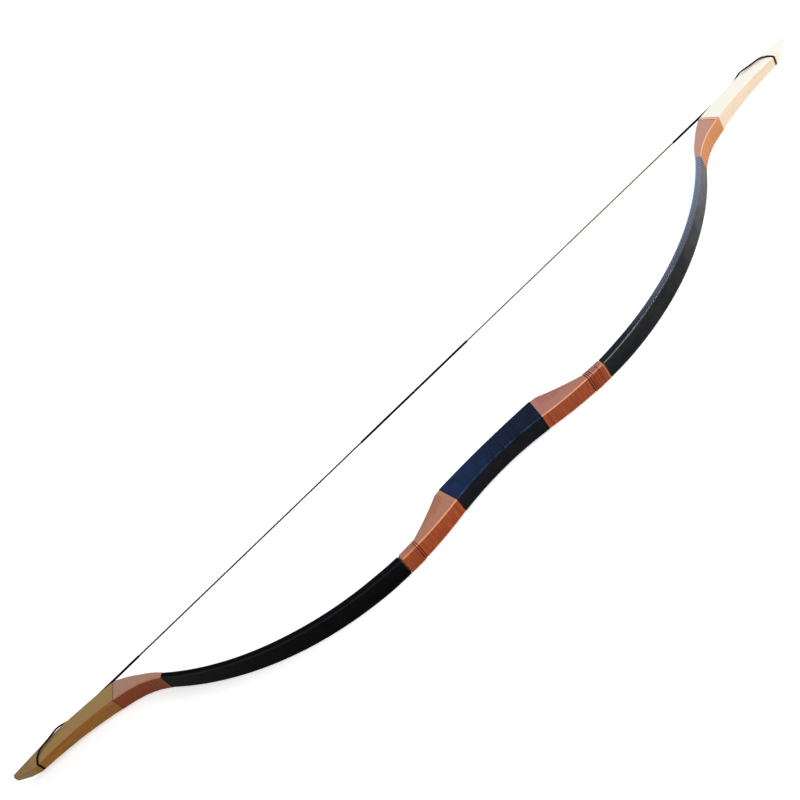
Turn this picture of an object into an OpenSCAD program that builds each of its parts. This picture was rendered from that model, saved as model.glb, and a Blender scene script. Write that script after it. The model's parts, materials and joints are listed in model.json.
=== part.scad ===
// A strung horse bow lying on its side: a wooden handle, two laminated limbs, two stiff wooden
// siyahs at the ends and a served string. X runs along the bow, with the upper half on +X.
// The back faces -Y, where the arrow goes, and the string is on the +Y side. Z runs across
// the width of the limbs, which lie on Z = 0. The lower half mirrors the upper half.

/* [Handle] */
// Length of the leather grip, along the back
grip_length = 129; // [115:1:143]
// Depth of the grip from belly to back, at its middle
grip_depth = 27; // [24:0.5:30]
// Depth of the handle at the ends of the grip
grip_end_depth = 31; // [28:0.5:34]
// Width of the grip
grip_width = 25; // [22:0.5:28]
// Length from the end of the grip to the neck, where the handle fades
fade_length = 64; // [54:1:76]
// Depth of the neck, where the fade ends
neck_depth = 11; // [10:0.2:13]
// Width of the neck
neck_width = 27; // [25:0.5:28]
// Length of the thread-bound neck
neck_length = 25; // [20:1:30]
// Thickness of the grip leather
grip_leather = 1.3; // [1.1:0.1:1.8]
// Thickness of the thread wraps on the handle and on the joints
wrap_thickness = 0.9; // [0.7:0.1:1.1]
// Radius of the edges of the handle
handle_edge = 2.6; // [2.2:0.2:3.4]

/* [Neck binding] */
// Diameter of the thread wound round each neck
thread_d = 1.2; // [0.9:0.1:1.3]
// Number of turns of thread on each neck
thread_turns = 13; // [8:1:13]
// Thickness of the wrap under the thread
under_wrap = 0.4; // [0.3:0.1:0.6]

/* [Limbs] */
// Length of each leather-covered limb, along the back
limb_length = 316; // [294:1:338]
// Depth of the limb where it leaves the neck
limb_root_depth = 9.6; // [8.8:0.1:11]
// Depth of the limb where it meets the siyah
limb_end_depth = 7.6; // [7:0.1:9]
// Width of the limb over its inner half
limb_width = 28.5; // [28.5:0.5:32]
// Width of the limb where it meets the siyah
limb_end_width = 25; // [23:0.5:27]
// Thickness of the scaled leather cover
cover_thickness = 0.8; // [0.5:0.1:1]
// Thickness of the strips glued to the back and the belly of the limb core
strip_thickness = 1; // [0.7:0.1:1.2]
// Radius of the edges of the limb
limb_edge = 2.4; // [1.8:0.1:3]
// Length of the V splice at each end of the limb core
splice_length = 26; // [20:1:32]

/* [Siyahs] */
// Length of the wrapped joint between limb and siyah
joint_length = 64; // [56:1:72]
// How far the belly of the joint lies inside a straight taper, at the middle of the joint
joint_hollow = 2.5; // [0:0.5:4]
// How much further the wrap reaches on the back than on the belly
joint_slant = 5; // [0:1:8]
// Depth of the siyah at its shoulder, where the wrap ends
shoulder_depth = 24.5; // [22:0.5:27]
// Width of the siyah at its shoulder
shoulder_width = 22.5; // [20:0.5:24.5]
// Length from the shoulder to the string nock
lever_length = 113; // [104:1:124]
// Depth of the siyah at the string nock
nock_depth = 19.6; // [18:0.2:21]
// Width of the siyah at the string nock
nock_width = 14; // [12:0.5:16]
// How deep the nock is cut across the back
nock_cut = 2.4; // [1.6:0.2:3]
// Length of the tip beyond the string nock
tip_length = 33; // [26:1:40]
// Depth of the end of the tip
tip_depth = 6.5; // [5:0.5:8]
// Width of the end of the tip
tip_width = 7.5; // [6:0.5:9]
// Radius of the edges of the siyah
siyah_edge = 1.6; // [1.2:0.2:2.4]

/* [Curve of the back] */
// Radius of the back behind the grip
grip_radius = 367; // [340:1:395]
// Angle that the back turns away from the string over the grip
grip_turn = 11; // [10:0.5:12]
// Radius of the back of the bent limb
limb_radius = 388; // [375:1:400]
// Angle that the limb turns towards the string
limb_turn = 58; // [56:0.5:60]
// Radius of the recurve under the wrapped joint
recurve_radius = 105; // [95:1:115]
// Angle of the recurve
recurve_turn = 31; // [29:0.5:33]
// Radius of the back of the siyah
siyah_radius = 450; // [420:5:480]

/* [String] */
// Diameter of the bundle of string strands
strand_d = 2.3; // [2:0.1:2.8]
// Thickness of the serving thread round the strands
serving_thickness = 0.35; // [0.25:0.05:0.5]
// Length of the centre serving
centre_serving_length = 175; // [140:5:210]
// Length of each end serving, up to the throat of the loop
end_serving_length = 94; // [80:2:110]
// Diameter of the served cord of each end loop
loop_d = 2.2; // [1.9:0.1:2.5]
// Distance from the throat of the loop to the string nock
loop_reach = 65; // [60:1:72]

/* [Fits] */
// Glue line between the pieces of a splice
glue_gap = 0.2; // [0.1:0.05:0.3]
// Glue line under a cover, a wrap or a strip
glue_line = 0.1; // [0.08:0.02:0.14]
// Gap at the places where each limb starts and stops bending
bend_gap = 0.3; // [0.2:0.05:0.5]
// Space between the string loop and the wood that it sits on
loop_gap = 0.3; // [0.2:0.05:0.4]

/* [Hidden] */

SIYAH_WOOD = [0.80, 0.62, 0.38];
CORE_WOOD = [0.72, 0.55, 0.35];
STRIP = [0.85, 0.80, 0.62];
THREAD = [0.62, 0.31, 0.15];
GRIP_LEATHER = [0.07, 0.10, 0.20];
LIMB_LEATHER = [0.05, 0.05, 0.06];
STRAND = [0.55, 0.42, 0.30];
SERVING = [0.03, 0.03, 0.03];

// Places along the back of the upper half, measured from the middle of the grip
fade_land = 8;
limb_flare = 30;
s_grip = grip_length / 2;
s_fade = s_grip + fade_land;
s_neck = s_grip + fade_length;
s_root = s_neck + neck_length;
s_full = s_root + limb_flare;
s_taper = s_root + 0.45 * limb_length;
s_limb = s_root + limb_length;
s_shoulder = s_limb + joint_length;
s_nock = s_shoulder + lever_length;
s_tip = s_nock + tip_length;

// The back of the bow is the master curve, a chain of arcs of [length, degrees of turn per mm]
function arc_of(radius, turn) = [radius * abs(turn) * PI / 180, sign(turn) * 180 / (PI * radius)];
siyah_turn = limb_turn - grip_turn - recurve_turn;
ARCS = [
    arc_of(grip_radius, -grip_turn),
    arc_of(limb_radius, limb_turn),
    arc_of(recurve_radius, -recurve_turn),
    arc_of(siyah_radius, -siyah_turn),
    [s_tip, 0]
];
function along_arc(at, heading, d, turn) =
    turn == 0 ? at + d * [cos(heading), sin(heading)]
    : at + [sin(heading + turn * d) - sin(heading), cos(heading) - cos(heading + turn * d)]
        * 180 / (PI * turn);
// [point, heading] of the master curve at s, with the curve's first point at [0, 0]
function master(s, i = 0, at = [0, 0], heading = 0) =
    let (len_i = ARCS[i][0], turn = ARCS[i][1])
    s <= len_i || i == len(ARCS) - 1
        ? [along_arc(at, heading, s, turn), heading + s * turn]
        : master(s - len_i, i + 1, along_arc(at, heading, len_i, turn), heading + len_i * turn);

// Depth of the finished bow at s, from the master curve to the belly
shoulder_land = 6;
hollow = 0.8;
tip_rise = 0.8;
s_joint_middle = s_limb + 0.5 * (joint_length - shoulder_land);
DEPTHS = [
    [s_fade, grip_end_depth],
    [s_neck, neck_depth],
    [s_root, limb_root_depth],
    [s_limb, limb_end_depth],
    [s_joint_middle, 0.5 * (limb_end_depth + shoulder_depth) - joint_hollow],
    [s_shoulder - shoulder_land, shoulder_depth],
    [s_shoulder, shoulder_depth],
    [s_shoulder + 0.4 * lever_length, 0.6 * shoulder_depth + 0.4 * nock_depth - hollow],
    [s_nock, nock_depth],
    [s_tip, nock_depth + tip_rise]
];
function depth(s) =
    s < s_grip ? grip_depth + (grip_end_depth - grip_depth) * pow(s / s_grip, 2)
    : lookup(s, DEPTHS);

// How far the back of the tip has fallen from the master curve at s
nock_land = 4;
tip_fall = nock_depth + tip_rise - tip_depth;
FALLS = [[s_nock + nock_land, 0], [s_nock + 0.5 * tip_length, 0.3 * tip_fall], [s_tip, tip_fall]];
function fall(s) = lookup(s, FALLS);

WIDTHS = [
    [s_grip, grip_width],
    [s_neck, neck_width],
    [s_root, neck_width],
    [s_full, limb_width],
    [s_taper, limb_width],
    [s_limb, limb_end_width],
    [s_shoulder, shoulder_width],
    [s_nock, nock_width],
    [s_tip, tip_width]
];
function width(s) = lookup(s, WIDTHS);
z_mid = limb_width / 2;

// Insets of each layer from the finished surface
wrap_out = grip_leather - wrap_thickness;
under_out = grip_leather - under_wrap;
core_in = cover_thickness + strip_thickness;
siyah_in = 0.3;

// The thread lies on the under-wrap, and its outside stands this far out of the surface
thread_r = thread_d / 2;
thread_lift = 0.05;
thread_centre = under_out - thread_lift - thread_r;
thread_proud = thread_r - thread_centre;

// The string runs along X, just clear of the belly of the siyah
loop_r = loop_d / 2;
serving_r = strand_d / 2 + serving_thickness;
throat_r = loop_d + serving_thickness;
throat_length = 14;
s_throat = s_nock - loop_reach;
function belly_at(s) = let (m = master(s)) m[0] + depth(s) * [-sin(m[1]), cos(m[1])];
highest_belly = max([for (s = [s_shoulder : 2 : s_nock]) belly_at(s)[1]]);
string_height = loop_gap
    + max(highest_belly + serving_r, belly_at(s_throat)[1] + throat_r);

// The origin is under the middle of the bow's box
back_reach = min([for (s = [s_neck : 1 : s_limb]) master(s)[0][1]]) - max(0, thread_proud);
string_reach = max(string_height + throat_r, belly_at(s_tip)[1]);
origin_y = (back_reach + string_reach) / 2;
string_y = string_height - origin_y;
x_throat = master(s_throat)[0][0];

// How much a section slants: its back is further along the bow than its belly
slant_fade = 14;
SLANTS = [
    [s_shoulder - shoulder_land, 0],
    [s_shoulder, joint_slant],
    [s_shoulder + siyah_in, joint_slant],
    [s_shoulder + slant_fade, 0]
];
function slanted(s, v) = s + lookup(s, SLANTS) * (0.5 - v / depth(s));

// The point in the section at s that is v from the back and z from the middle of the width
function place(s, v, z) =
    let (m = master(s))
    [m[0][0] - v * sin(m[1]), m[0][1] + v * cos(m[1]) - origin_y, z + z_mid];

// Outline of a section of half sizes [v, z] with rounded corners
CORNER_STEPS = 3;
CORNERS = [[1, 1], [-1, 1], [-1, -1], [1, -1]];
function rounded(half, r) = [
    for (c = [0 : 3], i = [0 : CORNER_STEPS])
        let (a = 90 * c + 90 * i / CORNER_STEPS)
        [CORNERS[c][0] * (half[0] - r) + r * cos(a), CORNERS[c][1] * (half[1] - r) + r * sin(a)]
];
// The outline of the bow at s, drawn in by inset all round
function ring(s, inset, edge) =
    let (
        half = [(depth(s) - fall(s)) / 2 - inset, width(s) / 2 - inset],
        middle = (depth(s) + fall(s)) / 2,
        r = min(max(edge - inset, 0.3), 0.8 * half[0])
    )
    [for (p = rounded(half, r)) place(slanted(s, middle + p[0]), middle + p[0], p[1])];
// A trapezoid in the section at s, from v = low to v = high, with a half width for each
function tapered(s, low, high, low_side, high_side) = [
    place(s, high, high_side), place(s, low, low_side),
    place(s, low, -low_side), place(s, high, -high_side)
];
function block(s, low, high, side) = tapered(s, low, high, side, side);
// The same ring on the lower half of the bow
function mirrored(points) = [for (p = points) [-p[0], p[1], p[2]]];

// Places from the first stop to the last, through each stop and no further apart than pitch
function through(stops, pitch) = concat(
    [
        for (i = [0 : len(stops) - 2])
            let (n = ceil((stops[i + 1] - stops[i]) / pitch))
            for (j = [0 : n - 1]) stops[i] + (stops[i + 1] - stops[i]) * j / n
    ],
    [stops[len(stops) - 1]]
);

// Triangles between two rings of n points that start at index a and index b
function band(a, b, n) = [
    for (j = [0 : n - 1])
        let (k = (j + 1) % n)
        each [[a + j, b + j, b + k], [a + j, b + k, a + k]]
];
// A closed solid through rings, each with the same number of points
module loft(rings) {
    n = len(rings[0]);
    last = (len(rings) - 1) * n;
    polyhedron(
        points = [for (r = rings) each r],
        faces = concat(
            [for (i = [1 : len(rings) - 1]) each band((i - 1) * n, i * n, n)],
            [for (j = [1 : n - 2]) [0, j, j + 1]],
            [for (j = [1 : n - 2]) [last, last + j + 1, last + j]]
        )
    );
}
// A sleeve between outer rings and inner rings
module sleeve(outer, inner) {
    n = len(outer[0]);
    inside = len(outer) * n;
    last = inside - n;
    polyhedron(
        points = concat([for (r = outer) each r], [for (r = inner) each r]),
        faces = concat(
            [for (i = [1 : len(outer) - 1]) each band((i - 1) * n, i * n, n)],
            [for (i = [1 : len(outer) - 1]) each band(inside + i * n, inside + (i - 1) * n, n)],
            band(inside, 0, n),
            band(last, inside + last, n)
        )
    );
}
// Draws its children on the upper half, or mirrored on the lower half
module on(half) {
    if (half == "upper") children();
    else mirror([1, 0, 0]) children();
}

// The V splice of the limb core into the handle. The pieces of the handle share these stops.
handle_pitch = 12;
blunt_edge = 1.5;
point_side = 1.2;
wood_in = grip_leather + glue_line;
s_splice_in = s_root - splice_length;
s_grip_end = s_grip - glue_line / 2;
s_wrap_start = s_grip + glue_line / 2;
s_step = s_neck + 0.5;
s_handle_end = s_root - bend_gap;
grip_stops = through([0, s_grip_end], handle_pitch);
fade_stops = through([s_wrap_start, s_fade, s_neck], handle_pitch);
neck_stops = through([s_step, s_handle_end], handle_pitch);
splice_base = neck_width / 2 - grip_leather - blunt_edge;
function inner_v(s) =
    point_side + (splice_base - point_side) * (s - s_splice_in) / splice_length;
module inner_splice(grow, start, end) {
    clear = neck_depth;
    loft([for (s = [start, end]) block(s, -clear, 2 * clear, inner_v(s) + grow)]);
}

module half_riser() {
    difference() {
        loft([for (s = concat(grip_stops, fade_stops, neck_stops)) ring(s, wood_in, handle_edge)]);
        inner_splice(glue_gap, s_splice_in - glue_gap, s_root + bend_gap);
    }
}
module riser_core() {
    color(CORE_WOOD) for (half = ["upper", "lower"]) on(half) half_riser();
}

module grip_cover() {
    lower = [for (i = [len(grip_stops) - 1 : -1 : 1]) grip_stops[i]];
    function leather_rings(inset) = concat(
        [for (s = lower) mirrored(ring(s, inset, handle_edge))],
        [for (s = grip_stops) ring(s, inset, handle_edge)]
    );
    color(GRIP_LEATHER) sleeve(leather_rings(0), leather_rings(grip_leather));
}

module handle_wrap() {
    color(THREAD) sleeve(
        concat(
            [for (s = fade_stops) ring(s, wrap_out, handle_edge)],
            [for (s = neck_stops) ring(s, under_out, handle_edge)]
        ),
        [for (s = concat(fade_stops, neck_stops)) ring(s, grip_leather, handle_edge)]
    );
}

// One thread winds round the neck, a ring of points at every corner point of the outline
thread_sides = 6;
turn_points = 4 * (CORNER_STEPS + 1);
thread_start = s_neck + 0.7 + thread_r;
thread_end = s_root - bend_gap - 0.2 - thread_r;
thread_pitch = (thread_end - thread_start) / thread_turns;
function thread_place(i, inset) =
    ring(thread_start + thread_pitch * i / turn_points, inset, handle_edge)[i % turn_points];
function thread_ring(i) =
    let (
        at = thread_place(i, thread_centre),
        out = at - thread_place(i, thread_centre + 1),
        away = out / norm(out),
        h = master(thread_start)[1],
        ahead = [cos(h), sin(h), 0]
    )
    [
        for (j = [0 : thread_sides - 1])
            let (a = 360 * j / thread_sides)
            at + thread_r * (cos(a) * away + sin(a) * ahead)
    ];
last_thread = thread_turns * turn_points;
echo(least_gap_between_turns_of_thread = min([
    for (i = [0 : last_thread - turn_points])
        norm(thread_place(i + turn_points, thread_centre) - thread_place(i, thread_centre))
]) - thread_d);
module neck_binding() {
    color(THREAD) loft([for (i = [last_thread : -1 : 0]) thread_ring(i)]);
}

// The limb, from its leather to its core
limb_pitch = 24;
limb_stops = through([s_root, s_full, s_taper, s_limb - bend_gap], limb_pitch);
module limb_cover() {
    color(LIMB_LEATHER) sleeve(
        [for (s = limb_stops) ring(s, 0, limb_edge)],
        [for (s = limb_stops) ring(s, cover_thickness, limb_edge)]
    );
}
// Core and strips fill the leather, with the strips' outer corners cut off to suit its edges
laminate_in = cover_thickness + glue_line;
function face_side(s) = width(s) / 2 - limb_edge;
function core_side(s) = width(s) / 2 - laminate_in - (limb_edge - laminate_in) / 3;
module back_strip() {
    color(STRIP) loft([
        for (s = limb_stops)
            tapered(s, laminate_in, core_in - glue_line, face_side(s), core_side(s))
    ]);
}
module belly_strip() {
    color(STRIP) loft([
        for (s = limb_stops)
            tapered(s, depth(s) - core_in + glue_line, depth(s) - laminate_in, core_side(s), face_side(s))
    ]);
}

// The outer end of the limb core is a fork under the joint wrap, with the siyah's V in it
s_lap = s_limb + 6;
s_splice_out = s_limb + splice_length;
fork_back = wrap_thickness + glue_gap;
fork_belly = limb_end_depth - fork_back;
function fork_side(s) = width(s) / 2 - fork_back - siyah_edge / 2;
function outer_v(s) =
    point_side
    + (fork_side(s_splice_out) - blunt_edge - point_side) * (s - s_lap) / (s_splice_out - s_lap);
splice_pitch = 7;
// How far the parts of the limb core reach into each other
union_lap = bend_gap / 2;
// How far a cutting solid reaches past what it cuts
over = 1;
module outer_splice(grow, start, end) {
    loft([
        for (s = through([start, end], splice_pitch))
            block(s, -fork_back, fork_belly + 2 * glue_gap, outer_v(s) + grow)
    ]);
}
module limb_core() {
    tongue_stops = concat([s_splice_in], [for (s = neck_stops) if (s > s_splice_in) s], [s_root]);
    middle_stops = concat([s_root - union_lap], limb_stops, [s_limb]);
    color(CORE_WOOD) {
        intersection() {
            loft([for (s = tongue_stops) ring(s, wood_in, handle_edge)]);
            inner_splice(0, s_splice_in, s_root);
        }
        loft([for (s = middle_stops) block(s, core_in, depth(s) - core_in, core_side(s))]);
        difference() {
            loft([
                for (s = through([s_limb - union_lap, s_splice_out], splice_pitch))
                    block(s, fork_back, fork_belly, fork_side(s))
            ]);
            outer_splice(glue_gap, s_lap - glue_gap, s_splice_out + over);
        }
    }
}

joint_pitch = 8;
lapped_stops = through([s_lap, s_shoulder - shoulder_land, s_shoulder], joint_pitch);
module joint_wrap() {
    stops = concat([s_limb], lapped_stops);
    color(THREAD) sleeve(
        [for (s = stops) ring(s, 0, siyah_edge)],
        [for (s = stops) ring(s, wrap_thickness, siyah_edge)]
    );
}

// The string loop leaves its throat as two legs beside each other. They part round the belly
// of the siyah, run along its edges and meet in the nock, across the back.
leg_side = loop_r + 0.1;
leg_start = 0.2;
leg_straight = 6;
s_part = s_nock - 48;
nock_v = nock_cut - loop_r - loop_gap;
// A place on the side of the siyah: back from the nock, in from the belly, sunk into the side
function on_side(back, down, sink) =
    let (s = s_nock - back)
    place(s, depth(s) - down, width(s) / 2 + loop_r + loop_gap - sink);
LEG = [
    [x_throat + leg_start, string_y, z_mid + leg_side],
    [x_throat + leg_straight, string_y, z_mid + leg_side],
    place(s_part, depth(s_part) + loop_r + loop_gap + leg_start, 0.3 * width(s_part)),
    on_side(38, 0.3, 0),
    on_side(24, 3, 0),
    on_side(11, 5.5, 0),
    on_side(4, 10, 0.4 * nock_cut),
    on_side(0.8, 15, 0.7 * nock_cut),
    on_side(0, 18, nock_cut),
    place(s_nock, nock_v, 0.5 * width(s_nock) - nock_cut),
    place(s_nock, nock_v, 0)
];
function other_leg(p) = [p[0], p[1], 2 * z_mid - p[2]];
LOOP = concat(LEG, [for (i = [len(LEG) - 2 : -1 : 0]) other_leg(LEG[i])]);

// A smooth route through the points, with steps new points to each stretch
function spline_point(p, i, t) =
    let (
        last = len(p) - 1,
        a = p[max(i - 1, 0)], b = p[i], c = p[min(i + 1, last)], d = p[min(i + 2, last)]
    )
    0.5 * (2 * b + (c - a) * t + (2 * a - 5 * b + 4 * c - d) * t * t
        + (3 * b - a - 3 * c + d) * t * t * t);
function smooth(p, steps) = concat(
    [for (i = [0 : len(p) - 2], j = [0 : steps - 1]) spline_point(p, i, j / steps)],
    [p[len(p) - 1]]
);
function unit(v) = v / norm(v);
// Rings of a round tube along a route that never runs in the direction of SIDEWAYS
SIDEWAYS = [0.3, 1, 0];
loop_sides = 8;
loop_steps = 2;
function tube_rings(route, r) = [
    for (i = [0 : len(route) - 1])
        let (
            ahead = unit(route[min(i + 1, len(route) - 1)] - route[max(i - 1, 0)]),
            out = unit(cross(ahead, SIDEWAYS)),
            up = cross(ahead, out)
        )
        [
            for (j = [0 : loop_sides - 1])
                let (a = 360 * (j + 0.5) / loop_sides)
                route[i] + r * (cos(a) * out + sin(a) * up)
        ]
];
module string_loop() {
    color(SERVING) loft(tube_rings(smooth(LOOP, loop_steps), loop_r));
}

siyah_pitch = 14;
module siyah() {
    joined_in = wrap_thickness + glue_line;
    outer_stops = through(
        [s_shoulder + siyah_in, s_nock, s_nock + nock_land, s_nock + 0.5 * tip_length, s_tip],
        siyah_pitch
    );
    color(SIYAH_WOOD) difference() {
        loft(concat(
            [for (s = lapped_stops) ring(s, joined_in, siyah_edge)],
            [for (s = outer_stops) ring(s, siyah_in, siyah_edge + siyah_in)]
        ));
        difference() {
            loft([
                for (s = through([s_limb, s_splice_out + glue_gap], splice_pitch))
                    block(s, -over, fork_belly + glue_gap, width(s))
            ]);
            outer_splice(0, s_lap - over, s_splice_out + over);
        }
        loft(tube_rings(smooth(LOOP, loop_steps), loop_r + loop_gap));
    }
}

// A tube of the string along X from x = a to x = b
module string_tube(a, b, outer_r, bore_r) {
    translate([a, string_y, z_mid]) rotate([0, 90, 0]) difference() {
        cylinder(h = b - a, r = outer_r, $fn = 32);
        if (bore_r > 0)
            translate([0, 0, -over]) cylinder(h = b - a + 2 * over, r = bore_r, $fn = 32);
    }
}
middle_gap = glue_gap / 2;
bore_r = strand_d / 2 + 0.02;
x_end_serving = x_throat - end_serving_length;
x_swell = x_throat - throat_length;
strand_end = 2;
module half_string() {
    color(STRAND) string_tube(middle_gap, x_swell + strand_end, strand_d / 2, 0);
}
module centre_serving() {
    color(SERVING) string_tube(middle_gap, centre_serving_length / 2, serving_r, bore_r);
}
module end_serving() {
    color(SERVING) {
        string_tube(x_end_serving, x_swell + union_lap, serving_r, bore_r);
        translate([x_swell, string_y, z_mid]) rotate([0, 90, 0]) difference() {
            cylinder(h = throat_length, r1 = serving_r, r2 = throat_r, $fn = 32);
            translate([0, 0, -over]) cylinder(h = strand_end + glue_gap + over, r = bore_r, $fn = 32);
        }
    }
}

riser_core();
grip_cover();
on("upper") handle_wrap();  // upper_handle_wrap
on("lower") handle_wrap();  // lower_handle_wrap
on("upper") neck_binding();  // upper_neck_binding
on("lower") neck_binding();  // lower_neck_binding
on("upper") limb_core();  // upper_limb_core
on("lower") limb_core();  // lower_limb_core
on("upper") back_strip();  // upper_back_strip
on("lower") back_strip();  // lower_back_strip
on("upper") belly_strip();  // upper_belly_strip
on("lower") belly_strip();  // lower_belly_strip
on("upper") limb_cover();  // upper_limb_cover
on("lower") limb_cover();  // lower_limb_cover
on("upper") joint_wrap();  // upper_joint_wrap
on("lower") joint_wrap();  // lower_joint_wrap
on("upper") siyah();  // upper_siyah
on("lower") siyah();  // lower_siyah
on("upper") half_string();  // upper_string
on("lower") half_string();  // lower_string
on("upper") centre_serving();  // upper_centre_serving
on("lower") centre_serving();  // lower_centre_serving
on("upper") end_serving();  // upper_end_serving
on("lower") end_serving();  // lower_end_serving
on("upper") string_loop();  // upper_string_loop
on("lower") string_loop();  // lower_string_loop
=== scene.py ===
# %% [markdown]
# # A strung horse bow
# This bow is made of long, slim pieces that all follow one curve: the back of the bow. A leather
# grip sits in the middle, thread is wound over the handle and over the joints, scaled leather covers
# the limbs, and stiff wooden siyahs hold the string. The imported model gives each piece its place.
# This script gives each piece its surface.

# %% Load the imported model
import json
import math

import bmesh
import bpy
from mathutils import Matrix, Vector
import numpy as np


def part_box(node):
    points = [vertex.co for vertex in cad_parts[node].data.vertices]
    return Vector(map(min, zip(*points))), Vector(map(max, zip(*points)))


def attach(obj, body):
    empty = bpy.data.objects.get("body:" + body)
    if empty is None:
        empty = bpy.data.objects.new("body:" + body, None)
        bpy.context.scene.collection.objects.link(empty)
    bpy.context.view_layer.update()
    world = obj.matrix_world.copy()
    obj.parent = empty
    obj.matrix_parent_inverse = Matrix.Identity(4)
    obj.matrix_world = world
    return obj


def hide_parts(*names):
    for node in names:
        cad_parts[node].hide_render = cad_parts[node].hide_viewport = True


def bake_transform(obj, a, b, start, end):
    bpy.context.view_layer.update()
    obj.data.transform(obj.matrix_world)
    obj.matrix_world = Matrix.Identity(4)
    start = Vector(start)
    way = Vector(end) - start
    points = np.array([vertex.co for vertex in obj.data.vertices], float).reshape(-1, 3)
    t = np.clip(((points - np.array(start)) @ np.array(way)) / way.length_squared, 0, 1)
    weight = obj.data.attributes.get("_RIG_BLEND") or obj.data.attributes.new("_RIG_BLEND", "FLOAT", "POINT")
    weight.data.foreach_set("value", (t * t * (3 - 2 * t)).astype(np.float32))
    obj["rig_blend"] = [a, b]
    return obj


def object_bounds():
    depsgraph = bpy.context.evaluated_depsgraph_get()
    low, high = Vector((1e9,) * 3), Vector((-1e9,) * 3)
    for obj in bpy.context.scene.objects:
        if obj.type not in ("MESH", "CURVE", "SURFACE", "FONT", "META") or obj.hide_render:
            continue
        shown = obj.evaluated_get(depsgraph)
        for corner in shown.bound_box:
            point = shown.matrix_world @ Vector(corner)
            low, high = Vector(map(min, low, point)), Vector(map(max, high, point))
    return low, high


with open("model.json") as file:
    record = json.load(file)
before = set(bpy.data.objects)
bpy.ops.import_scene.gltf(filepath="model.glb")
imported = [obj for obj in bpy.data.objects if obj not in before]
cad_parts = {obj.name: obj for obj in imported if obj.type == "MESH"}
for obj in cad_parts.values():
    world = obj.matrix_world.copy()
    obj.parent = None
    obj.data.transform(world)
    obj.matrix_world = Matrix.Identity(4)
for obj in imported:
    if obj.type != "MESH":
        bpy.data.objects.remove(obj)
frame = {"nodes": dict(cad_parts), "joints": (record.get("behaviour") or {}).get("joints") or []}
cad_low, cad_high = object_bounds()
MM = 0.001
print("Packed nodes:", len(frame["nodes"]), "size in mm:", [round(x / MM, 1) for x in cad_high - cad_low])

# %% [markdown]
# ## The curve of the back
# A bowyer draws the back first and hangs every other line on it. Here it is a chain of arcs that
# meet without a corner, each given by its radius and its turn. A place on the bow is then a distance
# along that curve, a depth towards the belly and a distance across the width. A list of points would
# do too, but arcs stay smooth however finely they are cut.

# %% Write down the bow's sizes, in millimetres
GRIP_LENGTH = 129
GRIP_DEPTH = 27
GRIP_END_DEPTH = 31
FADE_LAND = 8
FADE_LENGTH = 64
NECK_LENGTH = 25
LIMB_LENGTH = 316
LIMB_FLARE = 30
JOINT_LENGTH = 64
JOINT_HOLLOW = 2.5
JOINT_SLANT = 5
SLANT_FADE = 14
SHOULDER_LAND = 6
LEVER_LENGTH = 113
TIP_LENGTH = 33
LIMB_END_DEPTH = 7.6
SHOULDER_DEPTH = 24.5
NOCK_DEPTH = 19.6
TIP_DEPTH = 6.5
TIP_RISE = 0.8
NOCK_LAND = 4
HOLLOW = 0.8
# Radius of each arc of the back, and its turn towards the string in degrees
ARCS = [(367, -11), (388, 58), (105, -31), (450, -16)]

# %% Find the places along the back, from the middle of the grip
s_grip = GRIP_LENGTH / 2
s_fade = s_grip + FADE_LAND
s_neck = s_grip + FADE_LENGTH
s_root = s_neck + NECK_LENGTH
s_full = s_root + LIMB_FLARE
s_taper = s_root + 0.45 * LIMB_LENGTH
s_middle = s_root + LIMB_LENGTH / 2
s_limb = s_root + LIMB_LENGTH
s_shoulder = s_limb + JOINT_LENGTH
s_nock = s_shoulder + LEVER_LENGTH
s_tip = s_nock + TIP_LENGTH
s_joint_middle = s_limb + 0.5 * (JOINT_LENGTH - SHOULDER_LAND)
DEPTHS = [
    (s_fade, GRIP_END_DEPTH),
    (s_neck, 11),
    (s_root, 9.6),
    (s_limb, LIMB_END_DEPTH),
    (s_joint_middle, 0.5 * (LIMB_END_DEPTH + SHOULDER_DEPTH) - JOINT_HOLLOW),
    (s_shoulder - SHOULDER_LAND, SHOULDER_DEPTH),
    (s_shoulder, SHOULDER_DEPTH),
    (s_shoulder + 0.4 * LEVER_LENGTH, 0.6 * SHOULDER_DEPTH + 0.4 * NOCK_DEPTH - HOLLOW),
    (s_nock, NOCK_DEPTH),
    (s_tip, NOCK_DEPTH + TIP_RISE),
]
TIP_FALL = NOCK_DEPTH + TIP_RISE - TIP_DEPTH
FALLS = [(s_nock + NOCK_LAND, 0), (s_nock + 0.5 * TIP_LENGTH, 0.3 * TIP_FALL), (s_tip, TIP_FALL)]
WIDTHS = [
    (s_grip, 25),
    (s_neck, 27),
    (s_root, 27),
    (s_full, 28.5),
    (s_taper, 28.5),
    (s_limb, 25),
    (s_shoulder, 22.5),
    (s_nock, 14),
    (s_tip, 7.5),
]
print("Length along the back of one half, in mm:", s_tip)


# %% Read a size between its places
CORNER_REACH = 2.5


def between(s, table):
    """The size at s, on straight lines between the places of the table."""
    if s <= table[0][0]:
        return table[0][1]
    for (s0, size0), (s1, size1) in zip(table, table[1:]):
        if s <= s1:
            return size0 + (size1 - size0) * (s - s0) / (s1 - s0)
    return table[-1][1]


def eased(s, table):
    """The same, with each corner of the table rounded over a short reach."""
    return sum(between(s + step * CORNER_REACH, table) for step in (-1, -0.5, 0, 0.5, 1)) / 5


def depth_at(s):
    if s < s_grip:
        return GRIP_DEPTH + (GRIP_END_DEPTH - GRIP_DEPTH) * (s / s_grip) ** 2
    return eased(s, DEPTHS) if s < s_shoulder - 2 * SHOULDER_LAND else between(s, DEPTHS)


# The turns of the joint's thread lean more and more, so its end reaches further on the back
SLANTS = [(s_limb, 0), (s_shoulder, JOINT_SLANT), (s_shoulder + SLANT_FADE, 0)]


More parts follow.
